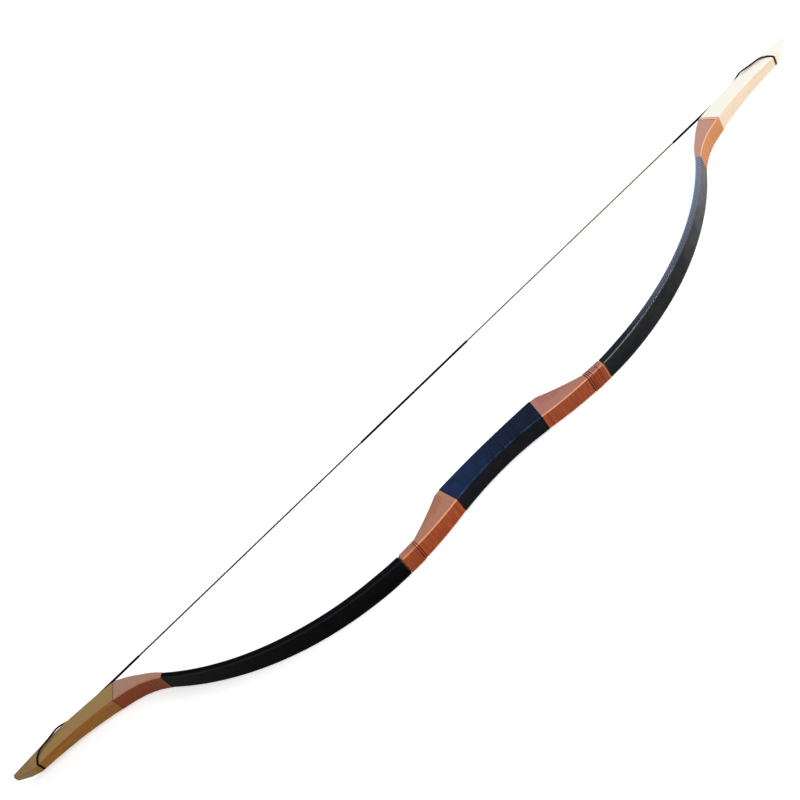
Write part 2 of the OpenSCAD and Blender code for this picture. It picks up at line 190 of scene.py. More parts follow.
def leaned(s, v):
    """The place along the bow, and the depth there, of a point in a section that leans."""
    own = s + between(s, SLANTS) * (0.5 - v / depth_at(s))
    return own, v * depth_at(own) / depth_at(s)


# %% Walk along the back
ORIGIN_Y = GRIP_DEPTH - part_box("grip_cover")[1].y / MM
Z_MID = (cad_low.z + cad_high.z) / 2 / MM
# The lower half of the bow mirrors the upper
HALVES = ((1, "upper"), (-1, "lower"))


def back_at(s):
    """The point on the back at s, and the heading there in radians."""
    x, y, heading = 0.0, 0.0, 0.0
    for radius, degrees in ARCS:
        turn = math.copysign(1 / radius, degrees)
        run = min(s, abs(math.radians(degrees)) * radius)
        after = heading + run * turn
        x += (math.sin(after) - math.sin(heading)) / turn
        y += (math.cos(heading) - math.cos(after)) / turn
        heading = after
        s -= run
        if s <= 0:
            break
    return x + s * math.cos(heading), y + s * math.sin(heading), heading


def spot(s, v, z, half=1):
    """The place v deep from the back and z across, in metres. half is 1 for upper, -1 for lower."""
    if s < 0:
        return spot(-s, v, z, -half)
    x, y, heading = back_at(s)
    place = (half * (x - v * math.sin(heading)), y + v * math.cos(heading) - ORIGIN_Y, z + Z_MID)
    return Vector(place) * MM


print("Upper nock in mm:", [round(x / MM, 1) for x in spot(s_nock, 0, 0)])

# %% [markdown]
# ## The camera
# The photograph looks down on the bow from its back, with the camera rolled so that the bow runs
# from corner to corner. Those angles came from matching points along the bow, and they are written
# here as the camera's own turn, elevation and roll.


# %% Place the camera
def add_object(name, data):
    """A new object in the scene."""
    added = bpy.data.objects.new(name, data)
    bpy.context.scene.collection.objects.link(added)
    return added


CAMERA_TURN = math.radians(-8.0)
CAMERA_HEIGHT = math.radians(41.99)
CAMERA_ROLL = math.radians(-38.47)
CAMERA_DISTANCE = 1.5
LENS = 56.8
SENSOR = 36
# Where the camera aims, measured from the middle of the string, in metres
AIM_X = -0.0189
AIM_Y = 0.0066
string_low, string_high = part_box("upper_string")
STRING_Y = (string_low.y + string_high.y) / 2
look_at = Vector((AIM_X, STRING_Y + AIM_Y, Z_MID * MM))
forward = Vector((
    -math.sin(CAMERA_TURN) * math.cos(CAMERA_HEIGHT),
    math.cos(CAMERA_TURN) * math.cos(CAMERA_HEIGHT),
    -math.sin(CAMERA_HEIGHT),
))
level = Vector((math.cos(CAMERA_TURN), math.sin(CAMERA_TURN), 0))
upward = level.cross(forward)
right = math.cos(CAMERA_ROLL) * level + math.sin(CAMERA_ROLL) * upward
top = -math.sin(CAMERA_ROLL) * level + math.cos(CAMERA_ROLL) * upward
camera = add_object("camera", bpy.data.cameras.new("camera"))
camera.data.lens = LENS
camera.data.sensor_width = SENSOR
turned = Matrix((right, top, -forward)).transposed().to_4x4()
camera.matrix_world = Matrix.Translation(look_at - CAMERA_DISTANCE * forward) @ turned
bpy.context.scene.camera = camera
print("Camera at", [round(x, 3) for x in camera.location])

# %% [markdown]
# ## Surfaces that more than one material uses
# Thread, leather and wood all vary a little from place to place. Each such effect is a node group,
# built once, with its own inputs. The patterns follow the bow's curve, because they read either the
# UV map, which holds millimetres along and around a piece, or an attribute that holds the place in
# the wood.


# %% Write helpers for shader nodes
def colour(red, green, blue):
    """A colour given as the 0 to 255 numbers of a picture, for a shader's socket."""
    linear = []
    for part in (red, green, blue):
        c = part / 255
        linear.append(c / 12.92 if c <= 0.04045 else ((c + 0.055) / 1.055) ** 2.4)
    return (*linear, 1)


def feed(tree, socket, value):
    """Links another node's output to a socket, or sets it. A colour is given as in a picture."""
    if isinstance(value, bpy.types.NodeSocket):
        tree.links.new(value, socket)
    else:
        socket.default_value = colour(*value) if socket.type == "RGBA" else value


def add_node(tree, kind, **values):
    """A new shader node, with its named inputs set or linked."""
    node = tree.nodes.new("ShaderNode" + kind)
    for label, value in values.items():
        feed(tree, node.inputs[label], value)
    return node


def maths(tree, operation, *values):
    """The result of a math node, whose inputs are numbers or other nodes' outputs."""
    node = add_node(tree, "Math")
    node.operation = operation
    for socket, value in zip(node.inputs, values):
        feed(tree, socket, value)
    return node.outputs[0]


def times(tree, first, second):
    return maths(tree, "MULTIPLY", first, second)


def above_zero(tree, value):
    return maths(tree, "MAXIMUM", value, 0.0)


def ramp(tree, value, start, end):
    """0 up to start, 1 from end on, and even between them."""
    rising = maths(tree, "MULTIPLY_ADD", value, 1 / (end - start), -start / (end - start))
    rising.node.use_clamp = True
    return rising


def split(tree, vector):
    """The three parts of a vector, by the names X, Y and Z."""
    return add_node(tree, "SeparateXYZ", Vector=vector).outputs


def noise(tree, where, scale, detail):
    return add_node(tree, "TexNoise", Vector=where, Scale=scale, Detail=detail).outputs["Fac"]


def stretched(tree, where, along, around, deep=1.0):
    """Coordinates with each direction at its own scale."""
    return add_node(tree, "Mapping", Vector=where, Scale=(along, around, deep)).outputs["Vector"]


def mixed(tree, share, first, second):
    """A colour between two, by a share from 0 to 1."""
    node = add_node(tree, "Mix")
    node.data_type = "RGBA"
    for index, value in ((0, share), (6, first), (7, second)):
        feed(tree, node.inputs[index], value)
    return node.outputs[2]


# %% Start a node group
FLOAT = "NodeSocketFloat"
COLOUR = "NodeSocketColor"
WHERE = ("Where", "NodeSocketVector", (0, 0, 0))
SHADES = (("Light", COLOUR, (1, 1, 1, 1)), ("Dark", COLOUR, (0, 0, 0, 1)))


def start_group(name, inputs, outputs):
    """A new node group, with the sockets that bring its inputs and the ones that take its outputs."""
    group = bpy.data.node_groups.new(name, "ShaderNodeTree")
    for label, kind, value in inputs:
        socket = group.interface.new_socket(label, in_out="INPUT", socket_type=kind)
        socket.default_value = value
    for label, kind in outputs:
        group.interface.new_socket(label, in_out="OUTPUT", socket_type=kind)
    return group, group.nodes.new("NodeGroupInput").outputs, group.nodes.new("NodeGroupOutput").inputs


# %% Build the group for uneven colour
uneven, given, out = start_group(
    "uneven colour", [WHERE, *SHADES, ("Scale", FLOAT, 1.0)], [("Colour", COLOUR), ("Share", FLOAT)])
share = ramp(uneven, noise(uneven, given["Where"], given["Scale"], 4), 0.29, 0.71)
feed(uneven, out["Colour"], mixed(uneven, share, given["Dark"], given["Light"]))
feed(uneven, out["Share"], share)

# %% Build the group for leather scales
SCALE_LENGTH = 4.6
SCALE_WIDTH = 3.4
scales, given, out = start_group(
    "leather scales", [WHERE, ("Length", FLOAT, SCALE_LENGTH), ("Width", FLOAT, SCALE_WIDTH)],
    [("Height", FLOAT), ("Gap", FLOAT)])
place = split(scales, given["Where"])
lengthwise = maths(scales, "DIVIDE", place["X"], given["Length"])
crosswise = maths(scales, "DIVIDE", place["Y"], given["Width"])
waves = []
for way in ("ADD", "SUBTRACT"):
    phase = times(scales, maths(scales, way, lengthwise, crosswise), math.pi)
    waves.append(maths(scales, "ABSOLUTE", maths(scales, "SINE", phase)))
dome = maths(scales, "POWER", times(scales, *waves), 0.5)
feed(scales, out["Height"], dome)
feed(scales, out["Gap"], maths(scales, "SUBTRACT", 1.0, dome))

# %% Build the group for wood grain
# How each pattern is stretched along the wood, through it and across it
WANDER = (0.008, 0.12, 0.12)
FIBRE = (0.02, 0.9, 0.9)
PORES = (0.06, 2.2, 2.2)
RING_SLANT = 0.35
grain, given, out = start_group(
    "wood grain", [WHERE, *SHADES, ("Ring", FLOAT, 1.0)], [("Colour", COLOUR), ("Height", FLOAT)])
wander = noise(grain, stretched(grain, given["Where"], *WANDER), 1.0, 2.0)
place = split(grain, given["Where"])
slant = maths(grain, "ADD", place["Y"], times(grain, place["Z"], RING_SLANT))
rings = maths(grain, "MULTIPLY_ADD", wander, 9.0, maths(grain, "DIVIDE", slant, given["Ring"]))
late_wood = maths(grain, "POWER", maths(grain, "FRACT", rings), 3.0)
fibre = noise(grain, stretched(grain, given["Where"], *FIBRE), 2.2, 5.0)
pores = maths(grain, "POWER", noise(grain, stretched(grain, given["Where"], *PORES), 2.0, 1.0), 3.0)
stripe = maths(grain, "MULTIPLY_ADD", fibre, 0.5, times(grain, late_wood, 0.45))
shade = maths(grain, "MINIMUM", maths(grain, "ADD", stripe, times(grain, pores, 0.5)), 1.0)
feed(grain, out["Colour"], mixed(grain, shade, given["Light"], given["Dark"]))
feed(grain, out["Height"], maths(grain, "SUBTRACT", 1.0, shade))

# %% Build the group for the lay of thread
LAY_SLOPE = 0.6
lay, given, out = start_group(
    "thread lay", [WHERE, ("Pitch", FLOAT, 0.5)], [("Height", FLOAT), ("Gap shade", FLOAT)])
place = split(lay, given["Where"])
slope = maths(lay, "ADD", place["X"], times(lay, place["Y"], LAY_SLOPE))
turned_by = times(lay, maths(lay, "DIVIDE", slope, given["Pitch"]), math.tau)
feed(lay, out["Height"], maths(lay, "SINE", turned_by))
line = noise(lay, stretched(lay, given["Where"], 1.3, 0.006), 1.0, 2.0)
feed(lay, out["Gap shade"], above_zero(lay, maths(lay, "MULTIPLY_ADD", line, 6.0, -3.6)))
print("Node groups:", sorted(group.name for group in bpy.data.node_groups))

# %% [markdown]
# ## The finishes
# Each finish is one Principled shader. Waxed thread has a soft sheen, and its flat sides are painted
# paler, a painted reflection of the cool lamp. The grip is dull black leather whose sides are painted
# navy, a painted reflection. The limbs are leather under clear lacquer, which shows most on their
# ridges and on their narrow sides; towards the joint the upper limb is painted paler, a painted
# reflection. The siyahs are oiled wood, with their flat sides painted lighter. The two halves of the
# bow have colours of their own, as they look in the photograph: they are lit and shaded copies, with
# the upper half painted lighter. Painted highlights lie on the ridges of thread and grip, and painted
# shade in their hollows. Bump gives the finest relief, and what is larger than a thread is modelled.


# %% Start a material
def start_material(name, roughness, **plain):
    """A new material, its node tree and the inputs of its shader."""
    material = bpy.data.materials.new(name)
    material.use_nodes = True
    shader = material.node_tree.nodes["Principled BSDF"].inputs
    shader["Roughness"].default_value = roughness
    for label, value in plain.items():
        shader[label.replace("_", " ")].default_value = value
    return material, material.node_tree, shader


def coordinates(tree, kind):
    return add_node(tree, "TexCoord").outputs[kind]


def attribute(tree, name, output="Fac"):
    node = add_node(tree, "Attribute")
    node.attribute_name = name
    return node.outputs[output]


def along_bow(tree):
    """The distance along the back, in millimetres from the middle of the grip."""
    return split(tree, attribute(tree, "grain", "Vector"))["X"]


def flank(tree):
    """1 on the sides of the bow, which face across its width, and 0 on its back and its belly."""
    across = maths(tree, "ABSOLUTE", split(tree, coordinates(tree, "Normal"))["Z"])
    return ramp(tree, across, 0.5, 0.9)


def ridge_and_hollow(tree):
    """How far a place is a ridge, and how far it is a hollow, from the edge attribute. The thread
    and grip finishes paint highlights on ridges and shade in hollows.
    """
    edge = attribute(tree, "edge")
    return above_zero(tree, edge), above_zero(tree, times(tree, edge, -1.0))


def placed(tree, group, where, **values):
    """A node group in a material, with its own values."""
    node = add_node(tree, "Group")
    node.node_tree = group
    for label, value in values.items():
        feed(tree, node.inputs[label], value)
    feed(tree, node.inputs["Where"], where)
    return node.outputs


def raised(tree, shader, height, strength, distance):
    """Bump on the shader's normal. distance is in metres."""
    bump = add_node(tree, "Bump", Strength=strength, Distance=distance, Height=height)
    tree.links.new(bump.outputs["Normal"], shader["Normal"])


# %% Mix the finish of the brown thread
THREAD_STREAKS = (1.2, 0.04)
THREAD_LAY = 0.34
GAP_SHADE_COLOUR = (76, 36, 18)
IN_SHADOW = (38, 18, 12)


def thread_finish(name, light, dark, side, ridge_highlight):
    """Waxed thread. side is its colour on the flat sides, a painted reflection, and ridge_highlight
    the painted highlight on its ridges.
    """
    material, tree, shader = start_material(
        name, 0.5, Specular_IOR_Level=0.15, Sheen_Weight=0.04, Sheen_Roughness=0.4)
    where = coordinates(tree, "UV")
    on_side = flank(tree)
    streaks = stretched(tree, where, *THREAD_STREAKS)
    shades = placed(tree, uneven, streaks, Light=light, Dark=dark, Scale=0.6)
    # The flat sides are painted paler: a painted reflection of the cool lamp.
    painted_side_reflection = mixed(tree, times(tree, on_side, 0.78), shades["Colour"], side)
    wound = placed(tree, lay, where, Pitch=THREAD_LAY)
    # Between the turns the thread is painted darker, a painted shade, and less so on the flat sides.
    gap_shade = times(tree, wound["Gap shade"], maths(tree, "MULTIPLY_ADD", on_side, -0.75, 1.0))
    deep = mixed(tree, gap_shade, painted_side_reflection, GAP_SHADE_COLOUR)
    ridge, hollow = ridge_and_hollow(tree)
    # The ridges get a painted highlight, and the hollows painted shade.
    lightened_edges = mixed(tree, times(tree, maths(tree, "POWER", ridge, 1.7), 0.85), deep, ridge_highlight)
    feed(tree, shader["Base Color"], mixed(tree, hollow, lightened_edges, IN_SHADOW))
    raised(tree, shader, wound["Height"], 0.25, 0.00003)
    return material


def by_side(finish, label, values):
    """The finish of the upper half and that of the lower, each from its own values. Where they differ,
    they are lit and shaded copies of one finish, painted lighter in the upper half.
    """
    return {side: finish(f"{side}_{label}", *own) for (_, side), own in zip(HALVES, values)}


# The light and the dark colour of each thread, its side colour, a painted reflection, and its
# painted ridge highlight. The upper row is a lit copy and the lower row a shaded one
FADE_COLOURS = [
    ((170, 80, 36), (122, 46, 18), (187, 128, 111), (250, 186, 138)),
    ((172, 78, 30), (122, 46, 14), (190, 132, 106), (248, 184, 136)),
]
JOINT_COLOURS = [
    ((212, 148, 98), (184, 116, 72), (198, 144, 131), (255, 208, 168)),
    ((142, 64, 26), (104, 42, 12), (188, 142, 118), (176, 104, 66)),
]
fade_threads = by_side(thread_finish, "fade_thread", FADE_COLOURS)
joint_threads = by_side(thread_finish, "joint_thread", JOINT_COLOURS)


# %% Mix the finish of the grip's leather
def grip_finish():
    """Black leather whose sides are painted navy, a painted reflection that fades towards the upper
    end. Its ridges get a painted highlight, and its creases and ends painted shade.
    """
    material, tree, shader = start_material("grip_leather", 0.5, Specular_IOR_Level=0.03)
    where = coordinates(tree, "UV")
    shades = placed(tree, uneven, where, Light=(18, 20, 24), Dark=(9, 11, 14), Scale=0.08)
    # The sides are painted navy, a painted reflection of the cool lamp, strongest at the lower end and
    # fading towards the upper; the back stays black.
    fresh = mixed(tree, shades["Share"], (18, 33, 62), (27, 44, 80))
    faded_reflection = mixed(tree, shades["Share"], (11, 17, 32), (18, 27, 46))
    painted_side_navy = mixed(tree, ramp(tree, along_bow(tree), -0.8 * s_grip, 0.8 * s_grip), fresh, faded_reflection)
    base = mixed(tree, times(tree, flank(tree), 0.95), shades["Colour"], painted_side_navy)
    # A painted highlight along the ridges, broken by the uneven share.
    ridge_highlight = mixed(tree, times(tree, shades["Share"], 0.8), base, (58, 84, 122))
    ridge, hollow = ridge_and_hollow(tree)
    lightened_edges = mixed(tree, maths(tree, "POWER", ridge, 2.0), base, ridge_highlight)
    # The creases and the turned-in ends get painted shade.
    feed(tree, shader["Base Color"], mixed(tree, hollow, lightened_edges, (3, 4, 8)))
    pebble = add_node(tree, "TexVoronoi", Vector=where, Scale=1.1)
    raised(tree, shader, pebble.outputs["Distance"], 0.4, 0.00015)
    return material


grip_leather = grip_finish()

# %% Mix the finishes of the limbs' leather
# How far from its root a limb's sides stay dark, and how far from its end they and the back are
# painted pale, a painted reflection
SIDE_DARK = 40
SIDE_PALE = 24
BACK_PALE = 30


def limb_finish(name, near, far, specular, glint, gloss):
    """Scaled leather. near and far are its colours at the handle and at the joint: light, dark,
    and the one on the narrow sides of the limb. The far colours are painted paler, a painted
    reflection of the lamps. glint is how much lacquer its ridges show, and gloss how much its sides
    show at the joint."""
    material, tree, shader = start_material(name, 0.4, Specular_IOR_Level=specular, Coat_Roughness=0.1)
    where = coordinates(tree, "UV")
    scaled = placed(tree, scales, where)
    place = along_bow(tree)
    outwards = ramp(tree, place, s_root + SIDE_DARK, s_limb - SIDE_PALE)
    on_side = times(tree, flank(tree), 0.85)
    shades = [placed(tree, uneven, where, Light=light, Dark=dark, Scale=0.06)["Colour"]
              for light, dark, _ in (near, far)]
    # The sides, and towards the joint the back, are painted paler: a painted reflection on the lacquer.
    backs = mixed(tree, ramp(tree, place, s_middle, s_limb - BACK_PALE), *shades)
    base = mixed(tree, on_side, backs, mixed(tree, outwards, near[2], far[2]))
    feed(tree, shader["Base Color"], mixed(tree, times(tree, scaled["Gap"], 0.9), base, (4, 4, 6)))
    ridge = times(tree, ridge_and_hollow(tree)[0], glint)
    broken = maths(tree, "MULTIPLY_ADD", scaled["Gap"], -0.4, 1.0)
    lacquer = times(tree, times(tree, times(tree, on_side, outwards), broken), gloss)
    feed(tree, shader["Coat Weight"], maths(tree, "MAXIMUM", ridge, lacquer))
    raised(tree, shader, scaled["Height"], 0.5, 0.00025)
    return material


# The upper limb is painted lighter than the lower and paler towards the joint: painted light and a painted
# reflection.
limb_leathers = by_side(limb_finish, "limb_leather", [
    (((34, 35, 38), (12, 13, 16), (8, 14, 28)), ((116, 117, 114), (76, 78, 80), (138, 141, 172)),
     0.04, 0.95, 1.0),
    (((11, 11, 12), (4, 4, 5), (7, 8, 9)), ((8, 7, 6), (3, 3, 3), (9, 9, 10)), 0.01, 0.3, 0.0),
])

# %% Mix the finishes of the woods
RING_WIDTH = 2.6
TIP_CHANGE = 12


def wood_finish(name, light, dark, side, tip):
    """Siyah wood. side is its colour on the flat sides, painted lighter where the light falls, and tip
    beyond the nock.
    """
    material, tree, shader = start_material(name, 0.36, Specular_IOR_Level=0.18)
    where = attribute(tree, "grain", "Vector")
    cut = placed(tree, grain, where, Light=light, Dark=dark, Ring=RING_WIDTH)
    patches = stretched(tree, where, 0.05, 0.3, 0.3)
    blotch = placed(tree, uneven, patches, Light=light, Dark=dark, Scale=1.0)
    mottled = mixed(tree, 0.35, cut["Colour"], blotch["Colour"])
    # The flat sides are painted lighter where the light falls on them.
    painted_side_light = mixed(tree, times(tree, flank(tree), 0.8), mottled, side)
    beyond = ramp(tree, along_bow(tree), s_nock, s_nock + TIP_CHANGE)
    tipped = mixed(tree, times(tree, beyond, 0.7), painted_side_light, tip)
    lightened_edges = mixed(tree, times(tree, attribute(tree, "edge"), 0.35), tipped, light)
    feed(tree, shader["Base Color"], lightened_edges)
    raised(tree, shader, cut["Height"], 0.2, 0.00006)
    return material


def hidden_wood_finish():
    material, tree, shader = start_material("core_wood", 0.6)
    where = stretched(tree, coordinates(tree, "Object"), 1000, 1000, 1000)
    cut = placed(tree, grain, where, Light=(206, 168, 116), Dark=(170, 126, 78), Ring=2.0)
    feed(tree, shader["Base Color"], cut["Colour"])
    raised(tree, shader, cut["Height"], 0.2, 0.00006)
    return material


def strip_finish():
    material, tree, shader = start_material("laminate", 0.45)
    where = stretched(tree, coordinates(tree, "Object"), 40, 900, 900)
    shades = placed(tree, uneven, where, Light=(226, 216, 176), Dark=(204, 190, 146), Scale=1.0)
    feed(tree, shader["Base Color"], shades["Colour"])
    return material


# The upper siyah is a lit copy of the lower: painted light, the same wood.
siyah_woods = by_side(wood_finish, "siyah_wood", [
    ((234, 215, 192), (212, 184, 150), (255, 245, 229), (255, 238, 228)),
    ((165, 106, 24), (90, 51, 8), (167, 131, 80), (140, 104, 62)),
])
core_wood = hidden_wood_finish()
laminate = strip_finish()


# %% Mix the finishes of the string
def cord_finish(name, light, dark, roughness=0.5, sheen=0.02):
    material, tree, shader = start_material(
        name, roughness, Specular_IOR_Level=0.05, Sheen_Weight=sheen, Sheen_Roughness=0.4)
    where = coordinates(tree, "UV")
    shades = placed(tree, uneven, where, Light=light, Dark=dark, Scale=0.3)
    feed(tree, shader["Base Color"], shades["Colour"])
    raised(tree, shader, placed(tree, lay, where, Pitch=0.3)["Height"], 0.2, 0.00002)
    return material


# The upper strand is a lit copy of the lower: painted lighter.
tan_strands = by_side(cord_finish, "tan_strand", [
    ((156, 122, 94), (122, 94, 72)), ((86, 68, 48), (60, 46, 32)),
])
black_serving = cord_finish("black_serving", (9, 9, 10), (3, 3, 4), 0.45, 0.01)
print("Materials:", sorted(m.name for m in bpy.data.materials))

# %% [markdown]
# ## How a long piece is made
# Every piece of the bow has a section that changes slowly along the curve, so one tool makes them
# all. A ring of edges is extruded from section to section, as a loft is drawn by hand. Each point
# also keeps its place along and around the bow, so the finishes can follow it.

# %% Draw the outline of a section
CORNER_POINTS = 6
WIDE_POINTS = 9
DEEP_POINTS = 4
CORNERS = [(1, 1, DEEP_POINTS), (-1, 1, WIDE_POINTS), (-1, -1, DEEP_POINTS), (1, -1, WIDE_POINTS)]


def corner_point(turn, step, half_v, half_z, radius):
    cv, cz, _ = CORNERS[turn % 4]
    angle = math.radians(90 * turn + 90 * step / (CORNER_POINTS - 1))
    return Vector((cv * (half_v - radius) + radius * math.cos(angle),
                   cz * (half_z - radius) + radius * math.sin(angle)))


def outline(half_v, half_z, radius):
    """Points round a rounded rectangle from the middle of the belly, each with 1 on a corner."""
    points = []
    for turn in range(4):
        for step in range(CORNER_POINTS):
            ridge_highlight = math.sin(math.pi * step / (CORNER_POINTS - 1)) ** 2
            points.append((corner_point(turn, step, half_v, half_z, radius), ridge_highlight))
        last = points[-1][0]
        ahead = corner_point(turn + 1, 0, half_v, half_z, radius)
        count = CORNERS[turn][2]
        for step in range(1, count + 1):
            points.append((last.lerp(ahead, step / (count + 1)), 0.0))
    first = len(points) - 1 - WIDE_POINTS // 2
    return points[first:] + points[:first]


RING = len(outline(5, 10, 2))


def section(s, inset, edge, lift=None):
    """The bow's outline at s, drawn in by inset. Each point is (s, v, z, distance round, edge)."""
    reach = abs(s)
    depth = depth_at(reach)
    fall = between(reach, FALLS)
    half_v = (depth - fall) / 2 - inset
    half_z = between(reach, WIDTHS) / 2 - inset
    radius = min(max(edge - inset, 0.3), 0.8 * half_v)
    middle = (depth + fall) / 2
    made = []
    round_it = 0.0
    before = None
    for p, corner in outline(half_v, half_z, radius):
        if before is not None:
            round_it += (p - before).length
        before = p
        raise_by = lift(s, p) if lift else 0.0
        q = p * (1 + raise_by / max(p.length, 0.1))
        # A point pressed in by the lift, as in a crease or a turned-in end, gets a lower edge value: painted
        # shade.
        made.append((s, middle + q.x, q.y, round_it, corner + min(0.0, 2 * raise_by)))
    return made


print("Points in a section:", RING)


# %% Draw out a ring of edges
def start_form():
    """An empty form, and the layers for a point's place in the bow, its edge and its way round."""
    form = bmesh.new()
    layers = form.verts.layers
    return form, layers.float_vector.new("grain"), layers.float.new("edge"), layers.float.new("around")


def draw_out(form, sides, count, seat, joined=False):
    """Extrudes a ring from place to place. seat(ring, i) puts it in the i-th place of count.
    joined closes the last ring on the first, as in a sleeve."""

    def edges_of(ring):
        return [form.edges.get((ring[i - 1], ring[i])) for i in range(sides)]

    ring = list(bmesh.ops.create_circle(form, segments=sides)["verts"])
    seat(ring, 0)
    start = edges = edges_of(ring)
    for i in range(1, count):
        grown = bmesh.ops.extrude_edge_only(form, edges=edges)["geom"]
        fresh = {v for v in grown if isinstance(v, bmesh.types.BMVert)}
        ring = [next(e.other_vert(v) for e in v.link_edges if e.other_vert(v) in fresh) for v in ring]
        edges = edges_of(ring)
        seat(ring, i)
    if joined:
        bmesh.ops.bridge_loops(form, edges=start + edges)
    else:
        bmesh.ops.holes_fill(form, edges=start + edges, sides=0)
    bmesh.ops.recalc_face_normals(form, faces=form.faces)
    lay_out(form, sides)
    return form


def lay_out(form, sides):
    """Writes the UV map: millimetres along the bow, and millimetres around it."""
    uv = form.loops.layers.uv.new("along_around")
    in_wood = form.verts.layers.float_vector["grain"]
    around = form.verts.layers.float["around"]
    widest = max(vert[around] for vert in form.verts)
    for face in form.faces:
        places = [loop.vert[around] for loop in face.loops]
        # The face that closes the ring has its start at 0, which is put one step after its end
        closing = len(places) == 4 and max(places) - min(places) > 0.4 * widest
        whole_way = max(places) * sides / (sides - 1)
        for loop, place in zip(face.loops, places):
            loop[uv].uv = (loop.vert[in_wood].x, whole_way if closing and place == 0.0 else place)


def loft(sections, half, joined=False):
    """A solid through the sections."""
    form, in_wood, corner, around = start_form()

    def seat(ring, i):
        for vert, (s, v, z, distance, on_corner) in zip(ring, sections[i]):
            vert.co = spot(s, v, z, half)
            vert[in_wood] = (s, v, z)
            vert[around] = distance
            vert[corner] = on_corner

    return draw_out(form, len(sections[0]), len(sections), seat, joined)


# %% Turn a form into a finished piece
def finish_piece(form, name, material, slot, body=None, replaced=(), sharp=40):
    mesh = bpy.data.meshes.new(name)
    form.to_mesh(mesh)
    form.free()
    mesh.shade_smooth()
    mesh.set_sharp_from_angle(angle=math.radians(sharp))
    piece = add_object(name, mesh)
    mesh.materials.append(material)
    if body:
        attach(piece, body)
    if replaced:
        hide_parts(*replaced)
    print(f"{name}: {len(mesh.vertices)} points")
    return piece


def steps(start, end, pitch):
    """Places from start to end, no further apart than pitch."""
    count = max(1, math.ceil(abs(end - start) / pitch))
    return [start + (end - start) * i / count for i in range(count + 1)]


# %% [markdown]
# ## The grip
# Thin leather is glued round the handle and meets in a seam. A hand has creased it crosswise where
# the fingers close. The creases are modelled, because they catch the light from every side. The
# alternative is a bump map alone, which would leave the edge of the grip as straight as a pipe.

# %% Make the leather grip
HANDLE_EDGE = 2.6
GRIP_LEATHER = 1.3
WRAP_THICKNESS = 0.9
GLUE_LINE = 0.1
GRIP_STEP = 0.5
LINING_STEP = 8
CREASE_WIDTH = 0.75
CREASE_DEPTH = 0.3
# How far out from the bow's middle plane a crease has its full depth
CREASE_FULL = 12
TURNED_IN = 0.4
TURNED_LENGTH = 1.0
# Each crease: its place along the grip, its slant, and how strong it is
CREASES = [
    (-38, 0.1, 0.3), (-21, -0.12, 0.4), (-4, 0.55, 0.9), (1, 0.5, 1.0), (5, 0.2, 0.8), (8, 0.1, 0.6),
    (11, 0.05, 1.0), (15, -0.05, 0.7), (19, 0.08, 1.0), (22, -0.02, 0.6), (25, 0.02, 1.0),
    (29, -0.1, 0.7), (34, 0.06, 0.8), (38, 0.02, 0.5), (43, 0.0, 0.5),
]
grip_end = s_grip - GLUE_LINE / 2


def creased(s, p):
    """Creases across the grip, deepest on its sides, and the leather turned in at its ends."""
    drop = 0.0
    for place, slant, strength in CREASES:
        away = (s - place - slant * p.x) / CREASE_WIDTH
        drop += strength * math.exp(-away * away)
    on_side = min(1.0, abs(p.y) / CREASE_FULL)
    rolled = max(0.0, 1 - (grip_end - abs(s)) / TURNED_LENGTH)
    return -CREASE_DEPTH * drop * on_side ** 4 - TURNED_IN * rolled ** 2


grip_sections = [section(s, 0, HANDLE_EDGE, creased) for s in steps(-grip_end, grip_end, GRIP_STEP)]
grip_sections += [section(s, GRIP_LEATHER, HANDLE_EDGE) for s in steps(grip_end, -grip_end, LINING_STEP)]
finish_piece(loft(grip_sections, 1, joined=True), "leather_grip", grip_leather, "grip_leather",
             "handle", ["grip_cover"])

# %% [markdown]
# ## The thread wraps
# Fine waxed thread is wound turn against turn over the fades of the handle and over each joint. A
# bump map could fake it, but a real winding has ribs that show in its outline. So each wrap is a
# sleeve whose rings follow the thread's own slant, with a crest and a valley for each turn.

# %% Wind the fine thread
THREAD_PITCH = 0.55
RIB = 0.16
STEPS_A_TURN = 4
RIB_PROFILE = [1.0, 0.3, 0.0, 0.3]
# Bands of other thread, or of shadow: from, to, edge value (above 0 is pale), and only on the sides
BANDS = {
    "upper": [
        (s_limb, s_limb + 1.2, 0.5, False),
        (s_shoulder - 4.4, s_shoulder - 3.4, -0.5, True),
        (s_shoulder - 3.2, s_shoulder - 0.9, 0.9, True),
        (s_shoulder - 0.6, s_shoulder, -0.4, False),
    ],
    "lower": [
        (s_limb, s_limb + 1.2, 0.7, False),
        (s_shoulder - 1.4, s_shoulder, -0.55, False),
    ],
}


def band_at(s, z, side):
    """The edge value that a band gives at this place, or None."""
    for start, end, value, only_sides in BANDS[side]:
        if start <= s <= end:
            share = (abs(z) / (between(s, WIDTHS) / 2)) ** 6 if only_sides else 1.0
            return value * share
    return None


def winding(start, end, inset, edge, side):
    """The outer sections of a sleeve of thread, wound turn against turn."""
    turns = (end - start) / THREAD_PITCH
    sections = []
    for i in range(int((turns + 1) * STEPS_A_TURN) + 1):
        valley = RIB * RIB_PROFILE[i % STEPS_A_TURN]
        base = start + THREAD_PITCH * (i / STEPS_A_TURN - 1)
        ring = []
        shape = section(min(max(base + THREAD_PITCH / 2, start), end), inset + valley, edge)
        for index, (_, v, z, distance, corner) in enumerate(shape):
            straight = min(max(base + THREAD_PITCH * index / RING, start), end)
            own, deep = leaned(straight, v)
            band = band_at(straight, z, side)
            ring.append((own, deep, z, distance, corner if band is None else band))
        sections.append(ring)
    return sections


def lining(start, end, inset, edge, pitch):
    """The inner sections of a sleeve, from start to end, with the edge value of painted shade. The
    first lean as the thread does.
    """
    sections = []
    for s in steps(start, end, pitch):
        shape = section(s, inset, edge)
        sections.append([(*leaned(s, v), z, distance, -1.0) for _, v, z, distance, _ in shape])
    return sections


